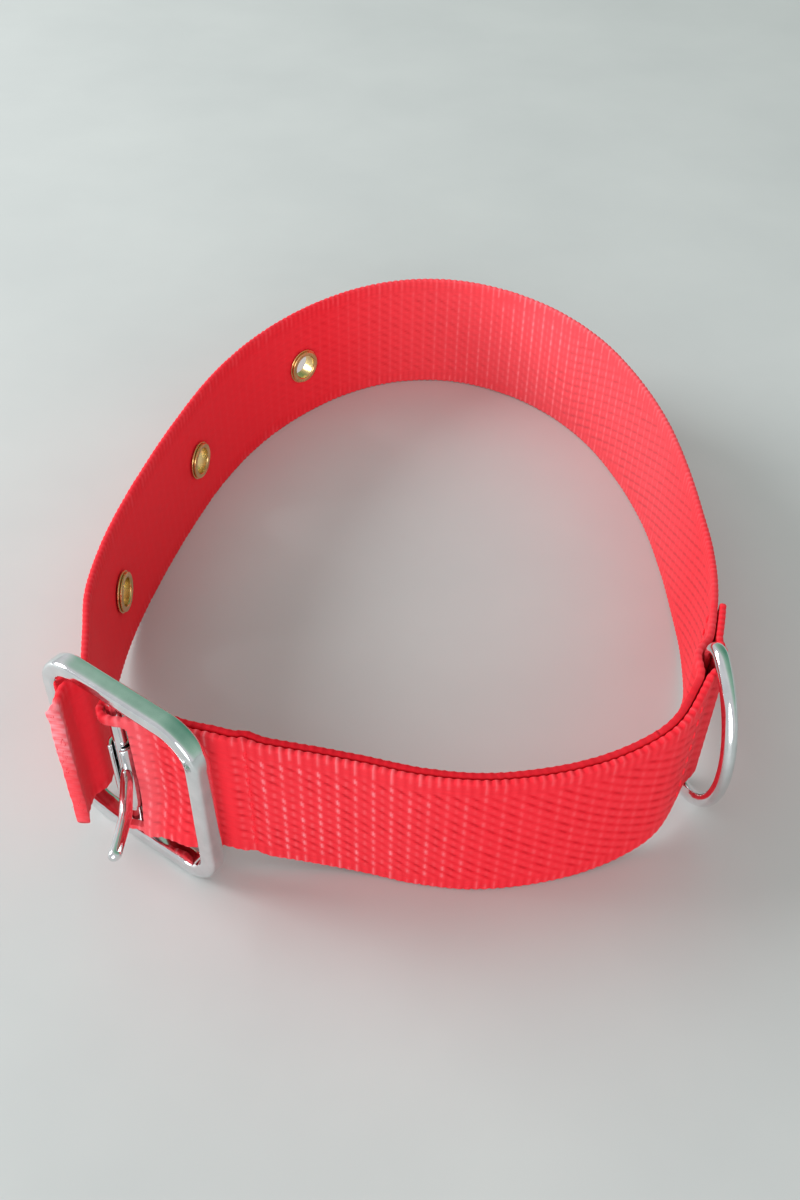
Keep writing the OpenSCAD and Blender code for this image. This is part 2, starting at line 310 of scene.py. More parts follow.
def set_back(path):
    """The soft plies give way a little further behind the frame's right bar."""
    s = running_length(path)
    bar_s = s[len(RING_ROUTE) * ROUTE_STEPS]
    give = SET_BACK * smooth(1 - np.abs(s - bar_s) / SET_BACK_SPAN)
    behind = from_buckle(0, 1, 0) - from_buckle(0, 0, 0)
    return path + give[:, None] * behind


route = set_back(spline(neck_route(), ROUTE_STEPS))
route[:, 2] = np.maximum(route[:, 2], 0)
route_s = running_length(route)
ring_s = route_s[RING_POINT * ROUTE_STEPS]
frame_s = route_s[len(RING_ROUTE) * ROUTE_STEPS]
fold_s = route_s[-1]
SEAMS = {
    "buckle_seam": frame_s - FRAME_BAR / 2 - SEAM_FROM_FRAME,
    "ring_front_seam": ring_s + SEAM_FROM_RING,
    "ring_end_seam": ring_s - RING_TAIL + SEAM_FROM_END,
}


def swell(s):
    """How far the plies part round the ring's bar."""
    return RING_SWELLING * (1 + np.cos(np.pi * np.minimum(1, np.abs(s - ring_s) / RING_SWELL))) / 2


def beside_route(s, out):
    """Points beside the route, the given distance out of the collar."""
    points, turns = at_length(route, route_s, s)
    points[:, :2] += np.asarray(out)[:, None] * outward(turns)
    return points


def outer_ply(step=0.25):
    s = np.arange(fold_s, ring_s - RING_TAIL, -step)
    fold_open = (2 * FOLD_R - PLY_STEP) * (1 - smooth((fold_s - s) / FOLD_CLOSE))
    return beside_route(s, PLY_STEP + (1 - RING_SHARE) * swell(s) + fold_open), s


def fold_round(steps=36):
    a = np.linspace(0, np.pi, steps + 1)[1:-1]
    return from_buckle(BAR_X - FOLD_R * np.sin(a), FOLD_R * np.cos(a), BUCKLE_LIFT)


neck = beside_route(route_s, -RING_SHARE * swell(route_s))
outer, outer_s = outer_ply()
fold = fold_round()
strip = np.vstack([neck, fold, outer])
strip_length = running_length(strip)
# Distance along the ply at the neck that lies beside each point of the strip
strip_beside = np.concatenate([route_s, np.full(len(fold), fold_s), outer_s])
FOLD_FROM = strip_length[len(neck) - 1]
FOLD_TO = strip_length[len(neck) + len(fold)]


# Meshes

def make_mesh(name, points, faces, material, body, replaces=()):
    """An object in metres from points in millimetres, riding on a body and standing for CAD nodes."""
    mesh = bpy.data.meshes.new(name)
    mesh.from_pydata((points.reshape(-1, 3) * MM).tolist(), [], faces)
    mesh.shade_smooth()
    mesh.materials.append(material)
    obj = bpy.data.objects.new(name, mesh)
    bpy.context.scene.collection.objects.link(obj)
    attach(obj, body)
    if replaces:
        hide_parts(*replaces)
    return obj


def point_layer(mesh, name, values):
    """One number at each point of a mesh, for its material."""
    layer = mesh.attributes.new(name, "FLOAT", "POINT")
    layer.data.foreach_set("value", np.asarray(values, np.float32))


def skin(rows, cols, close_rows=False):
    """Faces over a grid of points, row by row; the columns always close on themselves."""
    i, j = np.meshgrid(np.arange(rows if close_rows else rows - 1), np.arange(cols), indexing="ij")
    i, j = i.ravel(), j.ravel()
    next_i, next_j = (i + 1) % rows, (j + 1) % cols
    corners = [i * cols + j, i * cols + next_j, next_i * cols + next_j, next_i * cols + j]
    return np.stack(corners, 1).tolist()


def capped(rows, cols):
    """Faces over a grid of points, with an end face at the first row and at the last."""
    first_row = list(range(cols))
    last_row = list(range((rows - 1) * cols, rows * cols))
    return skin(rows, cols) + [first_row[::-1], last_row]


def tube(path, side, up, section, closed=True):
    """Points and faces of a section swept along a path. An open tube is closed by end faces."""
    section = np.asarray(section, float)
    if section.ndim == 2:
        section = np.broadcast_to(section, (len(path),) + section.shape)
    points = path[:, None] + side[:, None] * section[..., :1] + up[:, None] * section[..., 1:]
    rows, cols = section.shape[:2]
    faces = skin(rows, cols, True) if closed else capped(rows, cols)
    return points.reshape(-1, 3), faces


def joined(parts):
    """Several point and face lists as one."""
    points, faces, count = [], [], 0
    for p, f in parts:
        points.append(p)
        faces += [[v + count for v in face] for face in f]
        count += len(p)
    return np.vstack(points), faces


def repeated(direction, count):
    """The same direction for each point of a path."""
    return np.repeat(direction[None], count, 0)


def normals_of(outline):
    """Directions to the right of a closed outline, at each of its points."""
    way = np.roll(outline, -1, 0) - np.roll(outline, 1, 0)
    way /= np.linalg.norm(way, axis=1)[:, None]
    return np.stack([way[:, 1], -way[:, 0]], -1)


def circle(radius, sides):
    a = np.arange(sides) * 2 * np.pi / sides
    return radius * np.stack([np.cos(a), np.sin(a)], -1)


def soft_square(width, depth, power=4.5, sides=56):
    """Section of a bar with flat faces and well rounded edges."""
    a = (np.arange(sides) + 0.5) * 2 * np.pi / sides
    c, s = np.cos(a), np.sin(a)
    radius = (np.abs(c) ** power + np.abs(s) ** power) ** (-1 / power)
    return np.stack([width / 2 * radius * c, depth / 2 * radius * s], -1)


def soften(corners, cut, steps=5, most=0.45):
    """A closed outline with each corner rounded over a distance, at most a share of its sides."""
    p = np.asarray(corners, float)
    t = np.linspace(0, 1, steps)[:, None]
    out = []
    for before, here, after in zip(np.roll(p, 1, 0), p, np.roll(p, -1, 0)):
        a, b = before - here, after - here
        la, lb = np.linalg.norm(a), np.linalg.norm(b)
        start = here + a / la * min(cut, most * la)
        end = here + b / lb * min(cut, most * lb)
        out.append((1 - t) ** 2 * start + 2 * t * (1 - t) * here + t**2 * end)
    return np.vstack(out)


def arc(x, y, radius, start, end, steps):
    a = np.linspace(start, end, steps + 1)[1:]
    return np.stack([x + radius * np.cos(a), y + radius * np.sin(a)], -1)


# Materials

WHITE = (1.0, 1.0, 1.0)
# Deep red, also the colour of painted shade in the grooves, under the outer ply and round the bar
RED_DEEP = (0.56, 0.004, 0.014)
RED = (0.80, 0.012, 0.026)
RED_BRIGHT = (0.92, 0.030, 0.048)
# Pale pink of the painted highlights on the dashes and teeth, and of the painted sheen
RED_PAINTED_HIGHLIGHT = (0.98, 0.34, 0.38)
# Pale pink of the sealed end, also used for the painted highlight where the near ply turns to the bar
RED_PALE_END_AND_HIGHLIGHT = (0.97, 0.33, 0.37)
YARN_SHADE = (0.92, 0.86, 0.86)
SHEEN_RED = (1.0, 0.62, 0.64, 1)
THREAD_DARK = (0.84, 0.022, 0.04)
THREAD_LIGHT = (0.95, 0.04, 0.06)
FLOOR_DARK = (0.515, 0.54, 0.54)
FLOOR_LIGHT = (0.575, 0.60, 0.595)


def new_material(name):
    material = bpy.data.materials.new(name)
    material.use_nodes = True
    return material, material.node_tree.nodes, material.node_tree.links


def ramp(nodes, links, source, stops):
    node = nodes.new("ShaderNodeValToRGB")
    elements = node.color_ramp.elements
    while len(elements) < len(stops):
        elements.new(0.5)
    for element, (place, colour) in zip(elements, stops):
        element.position = place
        element.color = (*colour, 1)
    links.new(source, node.inputs["Fac"])
    return node.outputs["Color"]


def noise(nodes, links, coordinates, scale, detail=3.0, rough=0.55):
    node = nodes.new("ShaderNodeTexNoise")
    node.inputs["Scale"].default_value = scale
    node.inputs["Detail"].default_value = detail
    node.inputs["Roughness"].default_value = rough
    links.new(coordinates, node.inputs["Vector"])
    return node.outputs["Fac"]


def stretched(nodes, links, coordinates, scale, turn=0.0):
    node = nodes.new("ShaderNodeMapping")
    node.inputs["Scale"].default_value = scale
    node.inputs["Rotation"].default_value = (0, 0, turn)
    links.new(coordinates, node.inputs["Vector"])
    return node.outputs["Vector"]


def mixed(nodes, links, a, b, factor, blend="MIX"):
    node = nodes.new("ShaderNodeMix")
    node.data_type = "RGBA"
    node.blend_type = blend
    colour_in = [s for s in node.inputs if s.type == "RGBA"]
    for socket, value in zip(colour_in, (a, b)):
        if isinstance(value, tuple):
            socket.default_value = (*value, 1)
        else:
            links.new(value, socket)
    if isinstance(factor, float):
        node.inputs["Factor"].default_value = factor
    else:
        links.new(factor, node.inputs["Factor"])
    return [s for s in node.outputs if s.type == "RGBA"][0]


def spread(nodes, links, source, low, high):
    node = nodes.new("ShaderNodeMapRange")
    node.inputs["To Min"].default_value = low
    node.inputs["To Max"].default_value = high
    links.new(source, node.inputs["Value"])
    return node.outputs["Result"]


def bump(nodes, links, shader, height, strength, distance):
    node = nodes.new("ShaderNodeBump")
    node.inputs["Strength"].default_value = strength
    node.inputs["Distance"].default_value = distance
    links.new(height, node.inputs["Height"])
    links.new(node.outputs["Normal"], shader.inputs["Normal"])


def attribute(nodes, name):
    node = nodes.new("ShaderNodeAttribute")
    node.attribute_name = name
    return node.outputs["Fac"]


def webbing_material():
    """Red polyester webbing: floats with painted highlights, painted shade in deep red between them, pale
    cut ends and painted highlights where the near ply turns.
    """
    material, nodes, links = new_material("red_webbing")
    shader = nodes["Principled BSDF"]
    strip_map = nodes.new("ShaderNodeUVMap")
    strip_map.uv_map = "strip"
    on_strip = strip_map.outputs["UV"]
    weave = attribute(nodes, "weave")
    # Low weave values give painted shade in deep red: in the grooves, under the outer ply and round the bar
    colour = ramp(nodes, links, weave, [(0.0, RED_DEEP), (0.35, RED), (1.0, RED_BRIGHT)])
    yarns = noise(nodes, links, stretched(nodes, links, on_strip, (0.25, 1.6, 1)), scale=1.0)
    tint = ramp(nodes, links, yarns, [(0.3, YARN_SHADE), (0.7, WHITE)])
    colour = mixed(nodes, links, colour, tint, 1.0, "MULTIPLY")
    # Painted highlights: glints on the dashes and teeth, and a painted sheen, mixed in pale pink
    painted_highlight_mix = spread(nodes, links, attribute(nodes, "painted_highlight"), 0, 0.8)
    colour = mixed(nodes, links, colour, RED_PAINTED_HIGHLIGHT, painted_highlight_mix)
    # Pale sealed end, and painted highlight where the near ply turns to the bar
    colour = mixed(nodes, links, colour, RED_PALE_END_AND_HIGHLIGHT, attribute(nodes, "cut"))
    links.new(colour, shader.inputs["Base Color"])
    links.new(spread(nodes, links, yarns, 0.50, 0.72), shader.inputs["Roughness"])
    shader.inputs["Specular IOR Level"].default_value = 0.12
    shader.inputs["Sheen Weight"].default_value = 0.02
    shader.inputs["Sheen Roughness"].default_value = 0.45
    shader.inputs["Sheen Tint"].default_value = SHEEN_RED
    across_yarns = stretched(nodes, links, on_strip, (1.5, 9, 1), turn=0.3)
    filaments = noise(nodes, links, across_yarns, scale=1.0, detail=2.0)
    bump(nodes, links, shader, filaments, strength=0.35, distance=0.00012)
    return material


def thread_material():
    """Red sewing thread with fine strands."""
    material, nodes, links = new_material("red_thread")
    shader = nodes["Principled BSDF"]
    place = nodes.new("ShaderNodeTexCoord").outputs["Object"]
    strands = noise(nodes, links, place, scale=2500, detail=2.0)
    colour = ramp(nodes, links, strands, [(0.3, THREAD_DARK), (0.7, THREAD_LIGHT)])
    links.new(colour, shader.inputs["Base Color"])
    links.new(spread(nodes, links, strands, 0.5, 0.7), shader.inputs["Roughness"])
    shader.inputs["Specular IOR Level"].default_value = 0.12
    bump(nodes, links, shader, strands, strength=0.3, distance=0.0001)
    return material


def metal_material(name, dark, light, rough_low, rough_high, scratch):
    """Polished metal with handling marks: a little colour, uneven roughness and fine scratches."""
    material, nodes, links = new_material(name)
    shader = nodes["Principled BSDF"]
    place = nodes.new("ShaderNodeTexCoord").outputs["Object"]
    patches = noise(nodes, links, place, scale=220, detail=4.0)
    links.new(ramp(nodes, links, patches, [(0.3, dark), (0.7, light)]), shader.inputs["Base Color"])
    shader.inputs["Metallic"].default_value = 1.0
    smears = noise(nodes, links, place, scale=500, detail=5.0, rough=0.65)
    links.new(spread(nodes, links, smears, rough_low, rough_high), shader.inputs["Roughness"])
    drawn_out = stretched(nodes, links, place, (900, 250, 4200), turn=0.7)
    lines = noise(nodes, links, drawn_out, scale=1.0, detail=2.0)
    bump(nodes, links, shader, lines, strength=scratch, distance=0.00003)
    return material


def floor_material():
    """Pale floor, faintly mottled."""
    material, nodes, links = new_material("pale_floor")
    shader = nodes["Principled BSDF"]
    place = nodes.new("ShaderNodeTexCoord").outputs["Object"]
    mottle = noise(nodes, links, place, scale=14, detail=4.0)
    colour = ramp(nodes, links, mottle, [(0.2, FLOOR_DARK), (0.8, FLOOR_LIGHT)])
    links.new(colour, shader.inputs["Base Color"])
    shader.inputs["Roughness"].default_value = 0.6
    shader.inputs["Specular IOR Level"].default_value = 0.25
    return material


WEBBING = webbing_material()
THREAD = thread_material()
CHROME = metal_material("bright_chrome", dark=(0.70, 0.72, 0.73), light=(0.84, 0.85, 0.86),
                        rough_low=0.04, rough_high=0.16, scratch=0.10)
BRASS = metal_material("worn_brass", dark=(0.56, 0.41, 0.16), light=(0.88, 0.68, 0.33),
                       rough_low=0.15, rough_high=0.36, scratch=0.25)


# Weave

# Direction, phase and pitch of a few uneven waves
WAVES = RNG.uniform((0, 0, 0.6), (2 * np.pi, 2 * np.pi, 1.6), (4, 3))
# How strongly each yarn of the weave stands out, one value for each column and rib
YARN_COLUMNS = 89
YARN_RIBS = 61
UNEVEN = RNG.uniform(0.3, 1.0, (YARN_COLUMNS, YARN_RIBS))
# What a look of the weave says along a ply, beside the lean of its ribs
LOOK_KEYS = ("columns", "ribs", "wave", "joined", "tone", "painted_sheen")


def waver(a, b, size):
    """Slow uneven waves over two coordinates, within about plus and minus one."""
    total = 0
    for turn, phase, pitch in WAVES:
        along = a * np.cos(turn) + b * np.sin(turn)
        total = total + np.sin(2 * np.pi * along / (size * pitch) + phase)
    return total / len(WAVES)


def uneven(column, rib):
    """How strongly the yarn at a column and a rib stands out."""
    return UNEVEN[column.astype(int) % YARN_COLUMNS, rib.astype(int) % YARN_RIBS]


def look_along(look, sigma, s):
    """The weave's look along a ply, and how far its slanting ribs have run at each point."""
    here = {key: np.interp(sigma, look["at"], look[key])[:, None] for key in LOOK_KEYS}
    leaning = np.interp((sigma[1:] + sigma[:-1]) / 2, look["at"], look["lean"])
    slant = np.append(0, np.cumsum(leaning * np.diff(sigma))) / (2 * PICK)
    here["slant"] = np.interp(s, sigma, slant)
    return here


def woven(s, h, lean, look, broken):
    """Weave at a point: its height, colour with painted shade and painted highlight from 0 to 1, and the
    pull of the selvage's teeth.

    Ribs run aslant, one rib down from column to column, with short grooves between them painted darker as
    shade.
    Every second pick stands up as a column of dashes with painted highlights, and along the edges the picks
    turn back as teeth of uneven lengths, with painted highlight strokes on them and painted shade between
    them.
    """
    pick = np.round(s / PICK)
    along = s - pick * PICK
    even = 1 - np.mod(pick, 2)
    column = s / (2 * PICK)
    level = h / RIB + lean * (look["slant"] + look["wave"] * np.sin(2 * np.pi * column) / (2 * np.pi))
    rib = 0.5 + 0.5 * np.cos(2 * np.pi * level)
    from_edge = np.minimum(h, STRAP_W - h)
    inside = smooth((from_edge - SELVAGE) / SELVAGE_BLEND)

    # Grooves between the ribs, from column to column or running on through them
    run_on = look["joined"]
    yarn = uneven(np.floor(column), np.floor(level))
    yarn = yarn + 0.6 * run_on * (1 - yarn)
    between = 0.5 - 0.5 * np.cos(2 * np.pi * column)
    groove = np.clip(look["ribs"] * yarn * (run_on + (1 - run_on) * between) * (1 - rib) ** 3, 0, 1)

    # Dashes in the columns, where a broken column shows only between the grooves
    columns = look["columns"]
    dash_yarn = uneven(pick, np.round(level))
    whole = 1 - broken + broken * dash_yarn * smooth((rib - 0.2) / 0.5)
    dash = hump(along, DASH_W) * whole * (ODD_DASH + (1 - ODD_DASH) * even)

    # Teeth of the selvage, with painted highlight strokes on them
    arch = np.cos(np.pi * along / PICK)
    tooth = uneven(pick, np.zeros_like(pick))
    reach = TOOTH_L + TOOTH_LONGER * even + TOOTH_STRAY * (tooth - 0.6)
    stroke = hump(along, STROKE_W) * tooth * smooth((reach - from_edge) / STROKE_END)
    pulled = (0.4 + tooth) * (1 - arch) * smooth((SELVAGE - from_edge) / SELVAGE)

    ribs_high = RIB_HIGH * (1 - groove) + (1 - RIB_HIGH) * columns * dash
    high = ribs_high * inside + (0.55 + 0.3 * arch) * (1 - inside)
    # Painted shade: the colour darkens in the grooves and between the selvage's teeth
    tone = look["tone"] * ((1 - groove) * inside + (0.55 + 0.45 * arch) * (1 - inside))
    # Painted highlight: an even painted sheen, glints on the column dashes and strokes on the selvage's
    # teeth
    painted_highlight = look["painted_sheen"] + columns * dash * inside + (0.1 + 0.6 * columns) * stroke * (1 - inside)
    return high, tone, painted_highlight, pulled


def pressed_flat(s):
    """How far the weave is pressed flat along the seams, and where it is bare beside the frame."""
    beside = np.interp(s, strip_length, strip_beside)
    doubled = s > ring_s - RING_TAIL
    pressed = np.zeros_like(s)
    for seam in SEAMS.values():
        pressed = np.maximum(pressed, SEAM_PRESS * hump(beside - seam, SEAM_BAND, 4) * doubled)
    bare = hump(beside - SEAMS["buckle_seam"] - BARE_FROM_SEAM, BARE_BAND, 4) * (s > FOLD_TO)
    return np.maximum(pressed, bare), bare


def in_fold(s):
    """How far points belong to the bands round the centre bar."""
    return smooth((s - FOLD_FROM + BAND_START) / BAND_RISE) * smooth((FOLD_TO + BAND_END - s) / BAND_FALL)


def painted_shade(s, from_edge):
    """How far the inner ply's edge under the outer ply, and the bands round the bar, get painted shade in
    deep red.
    """
    under = smooth((s - ring_s) / SHADE_RISE) * (s < FOLD_FROM)
    under = under * smooth((SELVAGE - from_edge) / (SELVAGE / 2))
    from_ring = smooth((s - ring_s) / SHADE_FULL)
    under = under * (0.5 + 0.28 * from_ring + 0.22 * np.cos(2 * np.pi * s / PICK))
    return np.maximum(under, BAND_SHADE * in_fold(s))


def sealed_pale(s, h, back):
    """Paleness of the tail's sealed end: knotted, and strongest towards its upper edge."""
    knots = np.cos(2 * np.pi * h / KNOT_H + KNOT_SHIFT * back) * np.cos(2 * np.pi * s / KNOT_L)
    high_end = 0.2 + 0.85 * smooth((h - END_PALE_LOW) / END_PALE_RISE)
    return smooth((END_PALE - s) / END_PALE_FADE) * (0.6 + 0.4 * knots) * high_end


# Webbing pieces

# Each side of a cell: the step to the next cell, and the two corners of the side between them
CELL_SIDES = (
    ((1, 0), (1, 1), (1, 0)),
    ((-1, 0), (0, 0), (0, 1)),
    ((0, 1), (0, 1), (1, 1)),
    ((0, -1), (1, 0), (0, 0)),
)
# Flat map: margin round a length of a face, room for the walls, and the size and pitch of a wall's cell
MAP_MARGIN = 1.0
WALL_ROOM = 30
WALL_CELL = np.array([[0, 0], [2, 0], [2, 0.6], [0, 0.6]])
WALL_PITCH = (2.4, 0.8)


def row_heights(step):
    """Heights of the points across the strap: close together at its rounded edges."""
    edge = EDGE_ROUND * (1 - np.cos(np.radians([0, 22.5, 45, 67.5])))
    flat = STRAP_W - 2 * EDGE_ROUND
    middle = np.linspace(EDGE_ROUND, STRAP_W - EDGE_ROUND, round(flat / step) + 1)
    return np.concatenate([edge, middle, STRAP_W - edge[::-1]])


def evenly(start, end, step):
    return np.linspace(start, end, round((end - start) / step) + 1)


def in_slot(x, h):
    """Whether points beside the centre bar lie in the tongue's slot, which has rounded right corners."""
    dx = x - (BAR_X + SLOT_RIGHT - SLOT_CORNER)
    dy = np.abs(h - STRAP_W / 2) - (SLOT_H / 2 - SLOT_CORNER)
    in_corner = np.hypot(dx, dy) < SLOT_CORNER
    return np.where((dx > 0) & (dy > 0), in_corner, (dx < SLOT_CORNER) & (dy < SLOT_CORNER))


def on_rim(hole, centre, s, h):
    """Points of a ply, with those at the rim of an eyelet's hole moved onto its circle."""
    count, rows = s.shape
    touched = np.zeros((count, rows), int)
    for di in (0, 1):
        for dj in (0, 1):
            touched[di:count - 1 + di, dj:rows - 1 + dj] += hole
    rim = (touched > 0) & (touched < 4)
    away = np.hypot(s - centre, h - STRAP_W / 2)
    grow = np.where(rim, HOLE_R / np.maximum(away, 0.1), 1)
    s = np.where(rim, centre + (s - centre) * grow, s)
    h = np.where(rim, STRAP_W / 2 + (h - STRAP_W / 2) * grow, h)
    return s, h


def openings(sigma, heights):
    """The grid of points over a ply, and the cells that the slot and the eyelets cut away."""
    s, h = np.meshgrid(sigma, heights, indexing="ij")
    mid_s = (sigma[1:] + sigma[:-1]) / 2
    mid_h = (heights[1:] + heights[:-1]) / 2
    x = along_frame(at_length(strip, strip_length, mid_s)[0])[:, None]
    near_fold = ((mid_s > FOLD_FROM - SLOT_REACH) & (mid_s < FOLD_TO + SLOT_REACH))[:, None]
    cut = near_fold & in_slot(x, mid_h)
    for centre in EYELETS_AT:
        hole = np.hypot(mid_s[:, None] - centre, mid_h - STRAP_W / 2) < HOLE_R
        if hole.any():
            cut |= hole
            s, h = on_rim(hole, centre, s, h)
    return s, h, cut


def both_faces(first, second):
    """Values up the first face of a ply and down the second, round one closed section."""
    return np.concatenate([first, second[:, -2:0:-1]], 1)


def band_faces(kept):
    """Faces of a closed band: the kept cells of both its faces, then walls at openings and ends.

    The cells are also given as rows and columns of their corners, for the flat map.
    """
    count, rows = kept.shape[0] + 1, kept.shape[1] + 1
    loop = 2 * rows - 2
    base = np.arange(count)[:, None] * loop
    first = base + np.arange(rows)
    second = base + (loop - np.arange(rows)) % loop
    second[:, -1] = first[:, -1]

    i, j = np.nonzero(kept)
    corner_i = np.stack([i, i + 1, i + 1, i], 1)
    corner_j = np.stack([j, j, j + 1, j + 1], 1)
    quads = np.vstack([first[corner_i, corner_j], second[corner_i, corner_j][:, ::-1]])
    cells = [(corner_i, corner_j), (corner_i[:, ::-1], corner_j[:, ::-1])]

    walls = []
    padded = np.pad(kept, 1, constant_values=True)
    for (di, dj), a, b in CELL_SIDES:
        open_next = ~padded[1 + di:count + di, 1 + dj:rows + dj]
        i, j = np.nonzero(kept & open_next)
        p = (i + a[0], j + a[1])
        q = (i + b[0], j + b[1])
        walls.append(np.stack([first[p], first[q], second[q], second[p]], 1))
    j = np.arange(rows - 1)
    walls.append(np.stack([first[0, j], first[0, j + 1], second[0, j + 1], second[0, j]], 1))
    walls.append(np.stack([first[-1, j + 1], first[-1, j], second[-1, j], second[-1, j + 1]], 1))
    # The faces meet at the strap's edges, where a wall has only three corners
    walls = [list(dict.fromkeys(wall)) for wall in np.vstack(walls).tolist()]
    walls = [wall for wall in walls if len(wall) > 2]
    return quads.tolist(), walls, cells


def webbing_piece(name, sigma, row, look, broken, frayed=False):
    """One ply as a closed woven band, with its eyelet holes and its share of the tongue's slot."""
    heights = row_heights(row)
    s, h, cut = openings(sigma, heights)
    from_edge = np.minimum(h, STRAP_W - h)
    half = PLY_T / 2 * np.sqrt(1 - (np.maximum(EDGE_ROUND - from_edge, 0) / EDGE_ROUND) ** 2)
    points, turns = at_length(strip, strip_length, s)
    side = outward(turns)

    # The ply in front of the bar bellies out at its lower edge
    x = along_frame(points)
    near_ply = (s > (FOLD_FROM + FOLD_TO) / 2) & (s < FOLD_TO + NEAR_PLY_L)
    belly = BELLY * smooth(1 - h / BELLY_TOP) * smooth(x / BELLY_RISE) * near_ply
    belly = belly * smooth((BELLY_END - x) / BELLY_FALL)
    points[..., :2] -= belly[..., None] * outward(FRAME_WAY)
    if frayed:
        # The sealed end is swollen and uneven
        end = hump(s - sigma[0], END_L)
        half = half * (1 + END_SWELL * end)
        ragged = END_RAGGED * np.abs(waver(h[:1], 0 * h[:1], END_WAVE)) * end
        points[..., :2] += ragged[..., None] * turns

    # Weave on both faces, pressed flat along the seams
    weave_s = s + STRAY_S * waver(s, h, STRAY_S_SIZE)
    weave_h = h + STRAY_H * waver(s, h, STRAY_H_SIZE)
    here = look_along(look, sigma, weave_s)
    pressed, bare = pressed_flat(s)
    # Painted shade in deep red on the edge under the outer ply and on the bands round the bar
    dark = painted_shade(s, from_edge)
    places, tones, painted_highlights = [], [], []
    for way in (-1, 1):
        high, tone, painted_highlight, pulled = woven(weave_s, weave_h, -way, here, broken)
        high = high + (PRESSED_HIGH - high) * PRESSED_SHARE * pressed
        tone = tone + (PRESSED_TONE + BARE_TONE * bare - tone) * PRESSED_SHARE * pressed
        depth = half * (1 - RELIEF * (1 - high) - PRESSED_DEPTH * pressed)
        place = points.copy()
        place[..., :2] += way * depth[..., None] * side
        place[..., 2] += h - np.sign(h - STRAP_W / 2) * SCALLOP / 2 * pulled
        places.append(place)
        tones.append(tone * (1 - dark))
        painted_highlights.append(painted_highlight * (1 - pressed) * (1 - dark))

    quads, walls, cells = band_faces(~cut)
    faces = quads + walls
    used = np.unique(np.concatenate(faces))
    on_strip = np.stack([s, h], -1)
    strip_ring = both_faces(on_strip, on_strip)
    number = np.full(strip_ring[..., 0].size, -1)
    number[used] = np.arange(len(used))
    ring = both_faces(*places).reshape(-1, 3)[used]
    renumbered = [number[f].tolist() for f in faces]
    obj = make_mesh(name, ring, renumbered, WEBBING, "collar", ["strap"])

    # The walls are flat, but the sealed end is soft
    mesh = obj.data
    rows = len(heights)
    rounded = np.ones(len(faces), bool)
    rounded[len(quads):] = False
    if frayed:
        rounded[-2 * (rows - 1):-(rows - 1)] = True
    mesh.polygons.foreach_set("use_smooth", rounded)

    # Painted highlight where the near ply turns to the bar, and paleness at the sealed end
    turned = TURNED_HIGHLIGHT * smooth((BAR_X + SLOT_RIGHT + TURNED_W - x) / TURNED_FADE)
    turned = turned * near_ply * (1 - in_fold(s))
    pale = both_faces(turned, turned)
    if frayed:
        back = np.arange(pale.shape[1]) >= rows
        pale = pale + sealed_pale(strip_ring[..., 0] - sigma[0], strip_ring[..., 1], back)
    point_layer(mesh, "weave", both_faces(*tones).ravel()[used])
    point_layer(mesh, "painted_highlight", both_faces(*painted_highlights).ravel()[used])
    point_layer(mesh, "cut", pale.ravel()[used])
    corner = np.empty(len(mesh.loops), np.int32)
    mesh.loops.foreach_get("vertex_index", corner)
    strip_map = mesh.uv_layers.new(name="strip")
    strip_map.uv.foreach_set("vector", strip_ring.reshape(-1, 2)[used][corner].astype(np.float32).ravel())
    lay_flat(mesh, sigma, heights, cells, walls)


def lay_flat(mesh, sigma, heights, cells, walls):
    """A flat map for the piece: lengths of both faces in rows, and the walls in small cells beside them."""
    band = 2 * (STRAP_W + 2 * MAP_MARGIN)
    lengths = max(1, round(math.sqrt((sigma[-1] - sigma[0]) / band)))
    per = math.ceil((len(sigma) - 1) / lengths)
    firsts = np.append(sigma[:-1:per], sigma[-1])
    wide = np.diff(firsts).max() + 2 * MAP_MARGIN
    size = max(wide + WALL_ROOM, lengths * band)
    parts = []
    for face, (i, j) in enumerate(cells):
        row = i.min(1) // per
        u = MAP_MARGIN + sigma[i] - sigma[row * per][:, None]
        v = MAP_MARGIN + heights[j] + (row * band)[:, None] + face * band / 2
        parts.append(np.stack([u, v], -1).reshape(-1, 2))
    across = int((size - wide) // WALL_PITCH[0])
    for spot, wall in enumerate(walls):
        u = wide + WALL_PITCH[0] * (spot % across)
        v = MAP_MARGIN + WALL_PITCH[1] * (spot // across)
        parts.append(np.array([u, v]) + WALL_CELL[:len(wall)])
    flat = mesh.uv_layers.new(name="OFBake")
    flat.uv.foreach_set("vector", (np.vstack(parts) / size).astype(np.float32).ravel())


def loose_fibres(steps=6, sides=5):
    """Short broken filaments that stand out of the tail's cut end."""
    parts = []
    point, turn = at_length(strip, strip_length, np.array([FIBRE_ROOT]))
    out = -np.append(turn[0], 0)
    side = np.append(outward(turn[0]), 0)
    t = np.linspace(0, 1, steps)[:, None]
    for _ in range(FIBRES):
        across = RNG.uniform(-FIBRE_ACROSS, FIBRE_ACROSS)
        height = RNG.uniform(FIBRE_EDGE, STRAP_W - FIBRE_EDGE)
        length = RNG.uniform(*FIBRE_L)
        lean = out + RNG.normal(0, 0.35) * side + RNG.normal(0, 0.45) * UP
        curl = RNG.normal(0, 0.5, 3)
        root = point[0] + across * side + height * UP
        path = root + length * (lean * t + curl * t**2 * 0.6)
        radius = RNG.uniform(*FIBRE_R)
        section = circle(radius, sides) * (1 - 0.6 * t)[:, None]
        parts.append(tube(path, repeated(side, steps), repeated(UP, steps), section, closed=False))
    points, faces = joined(parts)
    obj = make_mesh("tail_fibres", points, faces, WEBBING, "collar")
    for name, value in (("weave", 0.85), ("painted_highlight", 0.0), ("cut", 0.22)):
        point_layer(obj.data, name, np.full(len(points), value))
    obj.data.uv_layers.new(name="strip")


